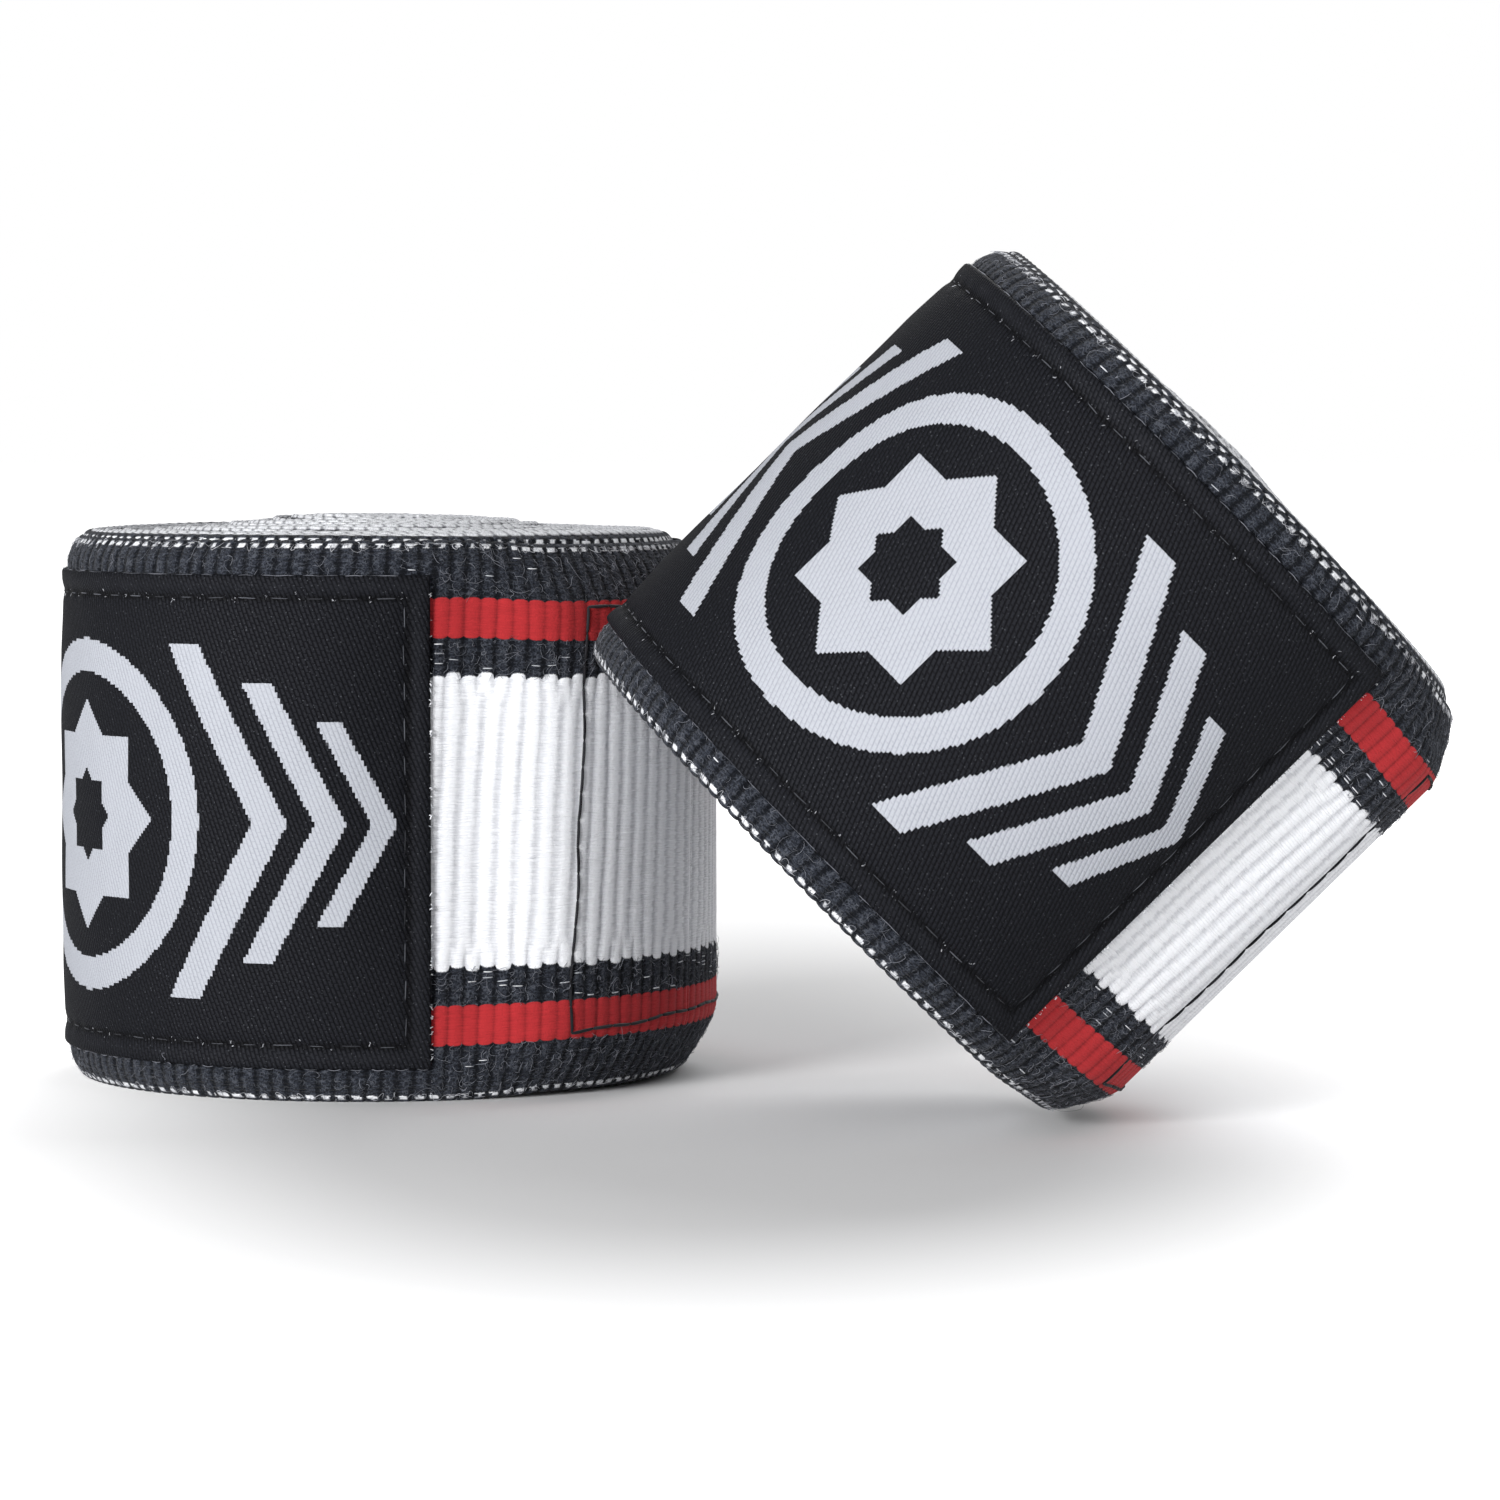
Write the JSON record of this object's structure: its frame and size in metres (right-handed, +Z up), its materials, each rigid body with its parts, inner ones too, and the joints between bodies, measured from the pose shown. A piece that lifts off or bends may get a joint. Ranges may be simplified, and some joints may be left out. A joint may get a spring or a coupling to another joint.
{
  "type": "hand wrap",
  "caption": "Pair of rolled boxing hand wraps with striped elastic band, woven label, thumb loop and peeling hook-and-loop end; one stands on edge, one leans on it.",
  "frame": {"origin": "on the floor, in the middle of the pair's footprint", "axes": "+X from the standing roll towards the leaning one, -Y the front where the labels show, +Z up along the standing roll's axis"},
  "size_m": [0.1258, 0.0972, 0.0762],
  "materials": {
    "striped_band": "ribbed cotton and elastic weave, white centre between charcoal and red stripes",
    "loop_tape": "flat woven tape",
    "woven_label": "black satin weave with silver-white motif",
    "loop_pile": "brushed loop pile",
    "hook_tape": "moulded nylon hooks"
  },
  "bodies": {
    "standing_roll": {"standing_wound_band": "striped_band", "standing_thumb_loop": "loop_tape", "standing_label": "woven_label", "standing_loop_patch": "loop_pile", "standing_closure_band": "striped_band", "standing_hook_patch": "hook_tape"},
    "standing_end_1": {"standing_end_band_1": "striped_band", "standing_end_hook_1": "hook_tape"},
    "standing_end_2": {"standing_end_band_2": "striped_band", "standing_end_hook_2": "hook_tape"},
    "standing_end_3": {"standing_end_band_3": "striped_band", "standing_end_hook_3": "hook_tape"},
    "leaning_roll": {"leaning_wound_band": "striped_band", "leaning_thumb_loop": "loop_tape", "leaning_label": "woven_label", "leaning_loop_patch": "loop_pile", "leaning_closure_band": "striped_band", "leaning_hook_patch": "hook_tape"},
    "leaning_end_1": {"leaning_end_band_1": "striped_band", "leaning_end_hook_1": "hook_tape"},
    "leaning_end_2": {"leaning_end_band_2": "striped_band", "leaning_end_hook_2": "hook_tape"},
    "leaning_end_3": {"leaning_end_band_3": "striped_band", "leaning_end_hook_3": "hook_tape"}
  },
  "joints": [
    {"name": "leaning_lift", "type": "slide", "parent": "standing_roll", "child": "leaning_roll", "axis": [0, 0, 1], "range_m": [0, 0.08]},
    {"name": "standing_peel_1", "type": "hinge", "parent": "standing_roll", "child": "standing_end_1", "pos_m": [-0.00242, 0.01343, 0.025], "axis": [0, 0, -1], "range_deg": [0, 30]},
    {"name": "standing_peel_2", "type": "hinge", "parent": "standing_end_1", "child": "standing_end_2", "pos_m": [-0.00345, 0.02874, 0.025], "axis": [0, 0, -1], "range_deg": [0, 30]},
    {"name": "standing_peel_3", "type": "hinge", "parent": "standing_end_2", "child": "standing_end_3", "pos_m": [-0.01155, 0.04179, 0.025], "axis": [0, 0, -1], "range_deg": [0, 30]},
    {"name": "leaning_peel_1", "type": "hinge", "parent": "leaning_roll", "child": "leaning_end_1", "pos_m": [0.04553, -0.00838, 0.01704], "axis": [-0.7133, 0, -0.7009], "range_deg": [0, 30]},
    {"name": "leaning_peel_2", "type": "hinge", "parent": "leaning_end_1", "child": "leaning_end_2", "pos_m": [0.03955, 0.00437, 0.02313], "axis": [-0.7133, 0, -0.7009], "range_deg": [0, 30]},
    {"name": "leaning_peel_3", "type": "hinge", "parent": "leaning_end_2", "child": "leaning_end_3", "pos_m": [0.03005, 0.01162, 0.03279], "axis": [-0.7133, 0, -0.7009], "range_deg": [0, 30]}
  ],
  "couplings": [
    {"joint": "standing_peel_2", "follows": "standing_peel_1", "ratio": 1},
    {"joint": "standing_peel_3", "follows": "standing_peel_1", "ratio": 1},
    {"joint": "leaning_peel_2", "follows": "leaning_peel_1", "ratio": 1},
    {"joint": "leaning_peel_3", "follows": "leaning_peel_1", "ratio": 1}
  ]
}
